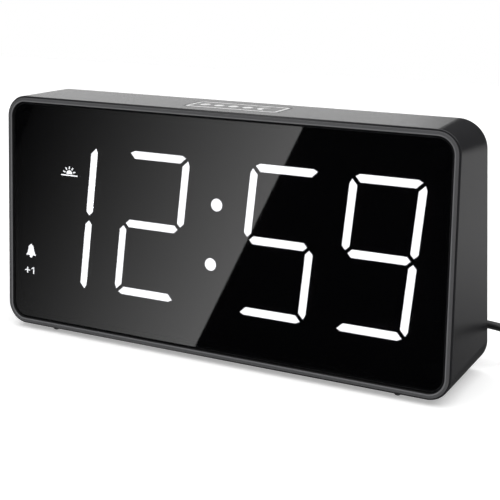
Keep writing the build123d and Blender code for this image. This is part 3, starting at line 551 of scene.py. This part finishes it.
# Finishes by the record's material slots. The grain of moulds, plating and rolled metal is really finer
# than 0.1 mm: each grain width here is drawn coarser, so that it shows.
metal = {"Metallic": 1.0}
finishes = {
    # Black ABS from a spark-eroded mould: a soft sheen that brightens at low angles
    "housing_plastic": grained(
        "abs_spark_eroded", "#252527", "#2b2b2d", roughness=0.21, grain=0.5 * mm, depth=0.005 * mm
    ),
    # Black ABS from a blasted mould: duller and paler than the housing, with a painted highlight round the opening
    # and painted shade on the wall inside it
    "frame_plastic": make_frame_plastic(),
    # Smoked acrylic: a dark mirror that lets strong light through, with a grey, matt rim where it is milled
    "smoked_lens": make_smoked_lens(),
    # Black ABS behind the lens: takes up stray light
    "reflector_plastic": grained(
        "abs_matt_black", "#09090a", "#0b0b0c", roughness=0.7, grain=0.5 * mm, depth=0.01 * mm
    ),
    # Opal polycarbonate with a lamp behind it: an even white glow
    "lit_diffuser": make_lit_diffuser(),
    # Grey film over a dark lamp: hardly to be told from the plastic round it
    "dark_diffuser": grained(
        "polycarbonate_dark", "#0b0b0c", "#0d0d0e", roughness=0.6, grain=0.4 * mm, depth=0.004 * mm
    ),
    # Glass-fibre board under green solder mask: a waxy shine over paler tracks
    "circuit_board": etched(
        "glass_fibre_board", "#1d4d31", "#2f6b45", roughness=0.35, pitch=2.54 * mm, track=0.5 * mm
    ),
    # Yellow phosphor in clear silicone: a fine, bright speckle
    "lamp_resin": grained(
        "lamp_phosphor", "#cba93f", "#e2c868", roughness=0.3, grain=0.2 * mm, depth=0.002 * mm
    ),
    # Epoxy chip package: dull and nearly black
    "chip_resin": grained(
        "epoxy_package", "#18181a", "#1f1f20", roughness=0.55, grain=0.3 * mm, depth=0.006 * mm
    ),
    # Zinc-plated steel: a cool, slightly soft mirror
    "screw_steel": grained(
        "steel_zinc_plated",
        "#adb0b4",
        "#bdc0c3",
        roughness=0.3,
        grain=0.4 * mm,
        depth=0.002 * mm,
        extra=metal,
    ),
    # Nylon switch case: dull black
    "switch_plastic": grained(
        "nylon_black", "#212122", "#262627", roughness=0.5, grain=0.4 * mm, depth=0.005 * mm
    ),
    # Pressed steel basket: the soft mirror of rolled sheet
    "speaker_metal": grained(
        "steel_pressed",
        "#77797d",
        "#82858a",
        roughness=0.4,
        grain=0.6 * mm,
        depth=0.003 * mm,
        extra=metal,
    ),
    # Grey vinyl round a row of wires: fine ridges along the cable, with painted shade between them
    "ribbon_plastic": corded(
        "vinyl_grey", "#85878a", "#aaacaf", roughness=0.45, pitch=1.0 * mm, depth=0.2 * mm
    ),
    # Natural nylon: off-white and a little waxy
    "connector_plastic": grained(
        "nylon_natural", "#ddd6c3", "#e6e0d0", roughness=0.45, grain=0.5 * mm, depth=0.004 * mm
    ),
    # Black ABS keys from a fine mould: a dull sheen, paler than the cover round them
    "key_plastic": grained(
        "abs_key", "#39393b", "#404042", roughness=0.38, grain=0.5 * mm, depth=0.006 * mm
    ),
    # Stainless steel can of a coin cell: a bright, clean mirror
    "cell_steel": grained(
        "steel_stainless",
        "#c1c3c6",
        "#cacccf",
        roughness=0.25,
        grain=0.5 * mm,
        depth=0.001 * mm,
        extra=metal,
    ),
    # Spring brass: a warm mirror with traces of rolling
    "contact_brass": grained(
        "brass_spring",
        "#c9a75b",
        "#d4b469",
        roughness=0.3,
        grain=0.3 * mm,
        depth=0.002 * mm,
        extra=metal,
    ),
    # Nickel-plated brass: a warm grey mirror
    "plug_metal": grained(
        "nickel_plated",
        "#c4c3c0",
        "#cdccc9",
        roughness=0.2,
        grain=0.3 * mm,
        depth=0.001 * mm,
        extra=metal,
    ),
    # Soft black vinyl: a broad, low sheen
    "cord_plastic": grained(
        "vinyl_black", "#1c1c1d", "#222223", roughness=0.45, grain=0.6 * mm, depth=0.008 * mm
    ),
    # Woven hook tape: no shine at all, drawn a little coarser than the thread so that it shows
    "tie_fabric": grained(
        "tape_woven", "#151516", "#242426", roughness=0.9, grain=0.7 * mm, depth=0.1 * mm
    ),
    # Black silicone rubber: dull
    "foot_rubber": grained(
        "rubber_black", "#171718", "#1d1d1e", roughness=0.75, grain=0.4 * mm, depth=0.01 * mm
    ),
}
# White pad print: a thin, slightly glossy film of ink
print_ink = grained("ink_white", "#e8e8e8", "#f0f0f0", roughness=0.4, grain=0.3 * mm, depth=0.002 * mm)

for entry in frame["record"]["subparts"]:
    mesh = nodes[entry["node"]].data
    mesh.materials.clear()
    mesh.materials.append(finishes[entry["material_slot"]])
lead.data.materials.append(finishes["cord_plastic"])


# Pieces

def add_bar(shape, length, height, middle=(0, 0), turn=0):
    """Flat bar, turned and then moved to its middle."""
    place = Matrix.Translation((*middle, 0)) @ Matrix.Rotation(turn, 4, "Z")
    size = Matrix.Diagonal((length, height, 1, 1))
    return bmesh.ops.create_grid(shape, x_segments=1, y_segments=1, size=0.5, matrix=place @ size)["verts"]


def add_disc(shape, radius, middle=(0, 0)):
    disc = bmesh.ops.create_circle(
        shape,
        cap_ends=True,
        segments=disc_segments,
        radius=radius,
        matrix=Matrix.Translation((*middle, 0)),
    )
    return disc["verts"]


def add_ring(shape, radius, line, middle=(0, 0)):
    hollow(shape, add_disc(shape, radius, middle), line)


def hollow(shape, verts, line):
    """Turn the flat face on some vertices into an outline as wide as the line."""
    inner = verts[0].link_faces[:]
    bmesh.ops.inset_region(shape, faces=inner, thickness=line, use_boundary=True, use_even_offset=True)
    bmesh.ops.delete(shape, geom=inner, context="FACES_ONLY")


def rounded(shape, verts, radius):
    bmesh.ops.bevel(
        shape,
        geom=verts,
        offset=radius,
        affect="VERTICES",
        segments=corner_segments,
        profile=0.5,
        material=-1,
    )


def add_rays(shape, count, span, start, length, line):
    """Bars round the origin, spread evenly over the span of an arc that starts at +X."""
    for i in range(count):
        turn = span * (i + 0.5) / count
        reach = start + length / 2
        add_bar(shape, length, line, (reach * math.cos(turn), reach * math.sin(turn)), turn)


def add_outline(shape, points):
    shape.faces.new([shape.verts.new((x, y, 0)) for x, y in points])


def add_plus(shape, size, line, middle=(0, 0)):
    """Plus sign in one outline: three points an arm, four times round the middle."""
    arm = ((line / 2, -line / 2), (size / 2, -line / 2), (size / 2, line / 2))
    turns = [Matrix.Rotation(i * math.pi / 2, 2) for i in range(4)]
    add_outline(shape, [turn @ Vector(point) + Vector(middle) for turn in turns for point in arm])


def drawn(add, *sizes):
    """New shape with what one adding function puts into it."""
    shape = bmesh.new()
    add(shape, *sizes)
    return shape


def make_piece(name, shape, material, body):
    mesh = bpy.data.meshes.new(name)
    shape.to_mesh(mesh)
    shape.free()
    mesh.materials.append(material)
    piece = bpy.data.objects.new(name, mesh)
    scene.collection.objects.link(piece)
    if body:
        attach(piece, body)
    return piece


def make_sign(name, shape, place, low, high, material, body):
    """Flat faces made a plate between two heights over a place, as one object on a body."""
    bottom = shape.faces[:]
    bmesh.ops.recalc_face_normals(shape, faces=bottom)
    grown = bmesh.ops.extrude_face_region(shape, geom=bottom, use_keep_orig=True)["geom"]
    raised = [part for part in grown if isinstance(part, bmesh.types.BMVert)]
    bmesh.ops.translate(shape, verts=raised, vec=(0, 0, high - low))
    bmesh.ops.transform(shape, verts=shape.verts, matrix=place @ Matrix.Translation((0, 0, low)))
    bmesh.ops.recalc_face_normals(shape, faces=shape.faces)
    make_piece(name, shape, material, body)


def make_snooze_print():
    """Ring along the key's edge, a row of dots and a crescent."""
    place, size = face_frame("snooze_key", upwards)
    shape = bmesh.new()
    border = add_bar(shape, size.x - 2 * print_inset, size.y - 2 * print_inset)
    rounded(shape, border, print_corner)
    hollow(shape, shape.verts[:], print_line)
    for i in range(dot_count):
        add_disc(shape, dot_radius, (dot_row_middle + (i - (dot_count - 1) / 2) * dot_pitch, 0))
    for vert in add_disc(shape, moon_radius, (moon_middle, 0)):
        over = vert.co.x - moon_middle - moon_cut
        if over > 0:
            vert.co.x -= 2 * over
    make_sign("snooze_print", shape, place, -print_sunk, print_thickness, print_ink, "snooze_key")


def add_rising_sun(shape):
    """Half a disc with rays over a horizon."""
    add_disc(shape, sun_radius)
    bmesh.ops.bisect_plane(
        shape,
        geom=shape.verts[:] + shape.edges[:] + shape.faces[:],
        dist=flat_tolerance,
        plane_co=(0, 0, 0),
        plane_no=(0, -1, 0),
        clear_outer=True,
    )
    add_rays(shape, sun_ray_count, math.pi, sun_ray_start, sun_ray_length, sun_line)
    add_bar(shape, horizon_length, sun_line, (0, -horizon_drop))


def add_bell(shape, share=1.0):
    width = bell_width * share
    height = bell_height * share
    right = [(width * x, height * (y - 0.5)) for x, y in bell_outline_shares]
    left = [(-x, y) for x, y in reversed(right)]
    add_outline(shape, right + left)


def add_plus_one(shape):
    add_plus(shape, plus_size, plus_one_line, (-(plus_size + plus_one_line) / 2, 0))
    left = (plus_size + plus_one_line) / 2
    right = left + plus_one_line
    top = plus_one_height / 2
    tip = left - plus_one_flag
    tip_top = top - plus_one_flag_drop
    stem = [(left, -top), (right, -top), (right, top), (left, top)]
    flag = [(tip, tip_top), (tip, tip_top - plus_one_line), (left, top - plus_one_line)]
    add_outline(shape, stem + flag)


def add_hour_one(shape):
    """Front faces of the one's two segments, carried outwards along their slant."""
    shape.from_mesh(nodes["lit_segments"].data)
    bmesh.ops.transform(shape, verts=shape.verts, matrix=display.inverted())
    bmesh.ops.remove_doubles(shape, verts=shape.verts, dist=flat_tolerance)
    shape.normal_update()
    others = [
        face
        for face in shape.faces
        if face.normal.z < flat_share or face.calc_center_median().x > hour_one_right
    ]
    bmesh.ops.delete(shape, geom=others, context="FACES")
    for vert in shape.verts:
        growth = hour_one_rise if vert.co.y > 0 else -hour_one_drop
        vert.co += Vector((growth * math.tan(digit_slant), growth, -vert.co.z))


def make_lit_signs():
    """Rising sun, bell and plus one, lit in front of their windows, and the one at its full height."""
    window = face_frame("indicator_windows", to_front)[0]
    depth = (display.inverted() @ window.translation).z
    signs = (
        ("daytime_sign", add_rising_sun, sun_place),
        ("bell_sign", add_bell, bell_place),
        ("plus_one_sign", add_plus_one, plus_one_place),
        ("hour_one_sign", add_hour_one, Vector()),
    )
    for name, add, place in signs:
        base = display @ Matrix.Translation(place + Vector((0, 0, depth)))
        make_sign(name, drawn(add), base, -sign_sunk, sign_thickness, finishes["lit_diffuser"], "base")


def add_clock(shape):
    """Ring with two hands, in one outline that turns at the middle."""
    add_ring(shape, clock_radius, rear_line)
    edge = rear_line / 2
    tip = edge + clock_hand
    upright = [(edge, clock_hand), (-edge, clock_hand), (-edge, 0)]
    level = [(tip, 0), (tip, rear_line), (edge, rear_line)]
    add_outline(shape, upright + level)


def add_chevrons(shape, count):
    for i in range(count):
        x = (i - (count - 1) / 2) * chevron_pitch - (chevron_reach + chevron_line) / 2
        back = [(x, chevron_half_height), (x + chevron_reach, 0), (x, -chevron_half_height)]
        front = [(px + chevron_line, py) for px, py in reversed(back)]
        add_outline(shape, back + front)


def add_lamp(shape, radius):
    add_disc(shape, radius)
    add_rays(shape, lamp_ray_count, math.tau, radius + lamp_ray_gap, radius * lamp_ray_share, rear_line)


def add_polarity(shape):
    """Minus, centre contact and plus in a row, joined by lines."""
    gap = polarity_pitch - 2 * polarity_radius
    for side in (-1, 1):
        add_ring(shape, polarity_radius, rear_line, (side * polarity_pitch, 0))
        add_bar(shape, gap, rear_line, (side * polarity_pitch / 2, 0))
    add_ring(shape, polarity_radius, rear_line)
    add_disc(shape, polarity_dot)
    add_bar(shape, polarity_bar, rear_line, (-polarity_pitch, 0))
    add_plus(shape, polarity_bar, rear_line, (polarity_pitch, 0))


def make_rear_signs():
    """Printed signs over the rear keys, round the sliders and the cap, and over the plug."""
    cover = face_frame("rear_cover", to_rear)[0]
    cap, cap_size = face_frame("battery_cap", to_rear)
    key_rise = face_frame("time_key", to_rear)[1].y / 2 + key_sign_gap
    half_way = slider_travel / 2
    near = half_way - slider_mark_gap
    far = half_way + slider_mark_gap
    reach = cap_size.y / 2 + cap_mark_gap
    open_right = -reach * math.sin(cap_turn)
    open_up = reach * math.cos(cap_turn)

    # Each sign's shape and its place, to the right of and up from the middle of a node's outer face
    signs = (
        ("time_print", drawn(add_clock), "time_key", 0, key_rise),
        ("alarm_print", drawn(add_bell, rear_bell_share), "alarm_key", 0, key_rise),
        ("hour_print", drawn(add_chevrons, 2), "hour_key", 0, key_rise),
        ("minute_print", drawn(add_chevrons, 1), "minute_key", 0, key_rise),
        ("alarm_slider_print", drawn(add_bell, rear_bell_share), "alarm_slider", half_way, slider_sign_gap),
        ("alarm_on_print", drawn(add_bar, rear_line, on_height), "alarm_slider", near, 0),
        ("alarm_off_print", drawn(add_ring, off_radius, rear_line), "alarm_slider", far, 0),
        ("bright_print", drawn(add_lamp, bright_radius), "dimmer_slider", near, 0),
        ("dim_print", drawn(add_lamp, dim_radius), "dimmer_slider", far, 0),
        ("polarity_print", drawn(add_polarity), "dc_plug_body", 0, polarity_rise),
        ("cap_locked_print", drawn(add_disc, cap_mark_radius), "battery_cap", 0, reach),
        ("cap_open_print", drawn(add_ring, cap_mark_radius, rear_line), "battery_cap", open_right, open_up),
    )
    for name, shape, node, right, up in signs:
        middle = cover.inverted() @ face_frame(node, to_rear)[0].translation
        place = cover @ Matrix.Translation((middle.x + right, middle.y + up, 0))
        make_sign(name, shape, place, -print_sunk, print_thickness, print_ink, "base")

    tip = cap_size.y / 2 - cap_arrow_inset
    foot = tip - cap_arrow_size
    arrow = drawn(add_outline, [(-cap_arrow_size, foot), (cap_arrow_size, foot), (0, tip)])
    make_sign("cap_arrow_print", arrow, cap, -print_sunk, print_thickness, print_ink, "battery_cap")


def make_plug_contacts():
    """Flat springs side by side on the tongue of the far plug."""
    low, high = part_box("usb_plug_shell")
    middle = (low + high) / 2
    shape = bmesh.new()
    y = low.y + contact_setback + contact_length / 2
    for i in range(contact_count):
        x = middle.x + (i - (contact_count - 1) / 2) * contact_pitch
        place = Matrix.Translation((x, y, middle.z + tongue_rise))
        size = Matrix.Diagonal((contact_width, contact_length, contact_height, 1))
        bmesh.ops.create_cube(shape, size=1, matrix=place @ size)
    return make_piece("plug_contacts", shape, finishes["contact_brass"], "base")


make_snooze_print()
make_lit_signs()
make_rear_signs()
plug_contacts = make_plug_contacts()

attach(lead, "base")
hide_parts("power_cord", "power_cord_coil", "power_cord_tail")


# Studio

def make_floor():
    # Matt white paint: bright, and darker only in the clock's shadow
    paint, shader = finish(
        "floor_paint",
        "#f4f4f4",
        roughness=0.9,
        extra={"Specular IOR Level": 0.0, "Emission Color": linear("#ffffff")},
    )
    tree = paint.node_tree
    path = add_node(tree, "ShaderNodeLightPath")
    lift = add_node(
        tree,
        "ShaderNodeMath",
        {0: path.outputs["Is Camera Ray"], 1: floor_lift},
        {"operation": "MULTIPLY"},
    )
    tree.links.new(lift.outputs["Value"], shader.inputs["Emission Strength"])
    floor = make_piece("floor", drawn(add_bar, floor_size, floor_size), paint, None)
    floor.visible_glossy = False


def make_card_glow():
    """Light that fades across the card from the edge that the display mirrors."""
    glow = bpy.data.materials.new("card_glow")
    glow.use_nodes = True
    tree = glow.node_tree
    tree.nodes.clear()
    way = add_node(tree, "ShaderNodeUVMap", settings={"uv_map": "across"})
    split = add_node(tree, "ShaderNodeSeparateXYZ", {"Vector": way.outputs["UV"]})
    fade = add_node(
        tree,
        "ShaderNodeMapRange",
        {"Value": split.outputs["X"], "To Min": card_fade_far, "To Max": card_fade_edge},
    )
    level = add_node(
        tree,
        "ShaderNodeMath",
        {0: fade.outputs["Result"], 1: card_fade_power},
        {"operation": "POWER"},
    )
    light = add_node(tree, "ShaderNodeEmission", {"Strength": level.outputs["Value"]})
    add_node(tree, "ShaderNodeOutputMaterial", {"Surface": light.outputs["Emission"]})
    return glow


def make_card():
    """Card that only reflections see, bright along the edge whose mirror image crosses the display."""
    eye = display.inverted() @ camera_place
    eye.z = -eye.z

    def mirrored(point):
        ray = point - eye
        return point + ray * (card_distance / ray.z)

    slope = card_edge_top - card_edge_bottom
    top = card_edge_top + slope * card_overrun_share
    bottom = card_edge_bottom - slope * card_overrun_share
    left = Vector((-card_width, 0, 0))
    shape = bmesh.new()
    corners = [bottom, top, top + left, bottom + left]
    face = shape.faces.new([shape.verts.new(display @ mirrored(corner)) for corner in corners])
    across = shape.loops.layers.uv.new("across")
    for loop, uv in zip(face.loops, ((1, 0), (1, 1), (0, 1), (0, 0))):
        loop[across].uv = uv
    card = make_piece("reflected_card", shape, make_card_glow(), None)
    card.visible_camera = False
    card.visible_diffuse = False
    card.visible_transmission = False
    card.visible_shadow = False


def make_softbox():
    lamp = bpy.data.lights.new("softbox", "AREA")
    lamp.shape = "RECTANGLE"
    lamp.size = softbox_width
    lamp.size_y = softbox_depth
    lamp.energy = softbox_power
    holder = bpy.data.objects.new("softbox", lamp)
    holder.location = softbox_place
    scene.collection.objects.link(holder)


def make_sky():
    """Sky that is white to the eye and even to matt surfaces, with levels of its own for reflections."""
    world = bpy.data.worlds.new("studio")
    world.use_nodes = True
    scene.world = world
    tree = world.node_tree
    tree.nodes.clear()
    path = add_node(tree, "ShaderNodeLightPath")
    way = add_node(tree, "ShaderNodeTexCoord")
    x, y, z = add_node(tree, "ShaderNodeSeparateXYZ", {"Vector": way.outputs["Generated"]}).outputs
    sideways = add_node(tree, "ShaderNodeMath", {0: x}, {"operation": "ABSOLUTE"}).outputs["Value"]
    ranges = (
        (y, behind_start, behind_end, behind_low, behind_high),
        (z, -band_reach, band_reach, 0, 1),
        (x, aside_start, aside_end, 0, 1),
        (sideways, flank_start, flank_end, 0, flank_level),
        (z, dome_start, dome_end, 0, dome_level),
        (z, ground_start, ground_end, 0, ground_level),
    )
    behind, height, aside, flank, dome, ground = [
        add_node(
            tree,
            "ShaderNodeMapRange",
            {"Value": value, "From Min": start, "From Max": end, "To Min": low, "To Max": high},
        ).outputs["Result"]
        for value, start, end, low, high in ranges
    ]
    bands = []
    for levels in (top_band, side_band):
        band = add_node(tree, "ShaderNodeFloatCurve", {"Value": height})
        line = band.mapping.curves[0]
        places = [((rise + band_reach) / (2 * band_reach), level) for rise, level in levels]
        for point, place in zip(line.points, (places[0], places[-1])):
            point.location = place
        for place in places[1:-1]:
            line.points.new(*place)
        for point in line.points:
            point.handle_type = "VECTOR"
        band.mapping.update()
        bands.append(band.outputs["Value"])
    band = add_node(tree, "ShaderNodeMix", {"Factor": aside, "A": bands[0], "B": bands[1]})
    level = add_node(
        tree,
        "ShaderNodeMath",
        {0: band.outputs["Result"], 1: flank},
        {"operation": "MAXIMUM"},
    )
    back = add_node(
        tree,
        "ShaderNodeMath",
        {0: behind, 1: level.outputs["Value"]},
        {"operation": "MULTIPLY"},
    )
    ends = add_node(tree, "ShaderNodeMath", {0: dome, 1: ground}, {"operation": "ADD"})
    reflected = add_node(
        tree,
        "ShaderNodeMath",
        {0: back.outputs["Value"], 1: ends.outputs["Value"]},
        {"operation": "MAXIMUM"},
    )
    lit = add_node(
        tree,
        "ShaderNodeMix",
        {"Factor": path.outputs["Is Glossy Ray"], "A": sky_level, "B": reflected.outputs["Value"]},
    )
    seen = add_node(
        tree,
        "ShaderNodeMix",
        {"Factor": path.outputs["Is Camera Ray"], "A": lit.outputs["Result"], "B": 1.0},
    )
    sky = add_node(
        tree,
        "ShaderNodeBackground",
        {"Color": linear("#ffffff"), "Strength": seen.outputs["Result"]},
    )
    add_node(tree, "ShaderNodeOutputWorld", {"Surface": sky.outputs["Background"]})


make_floor()
make_card()
make_softbox()
make_sky()
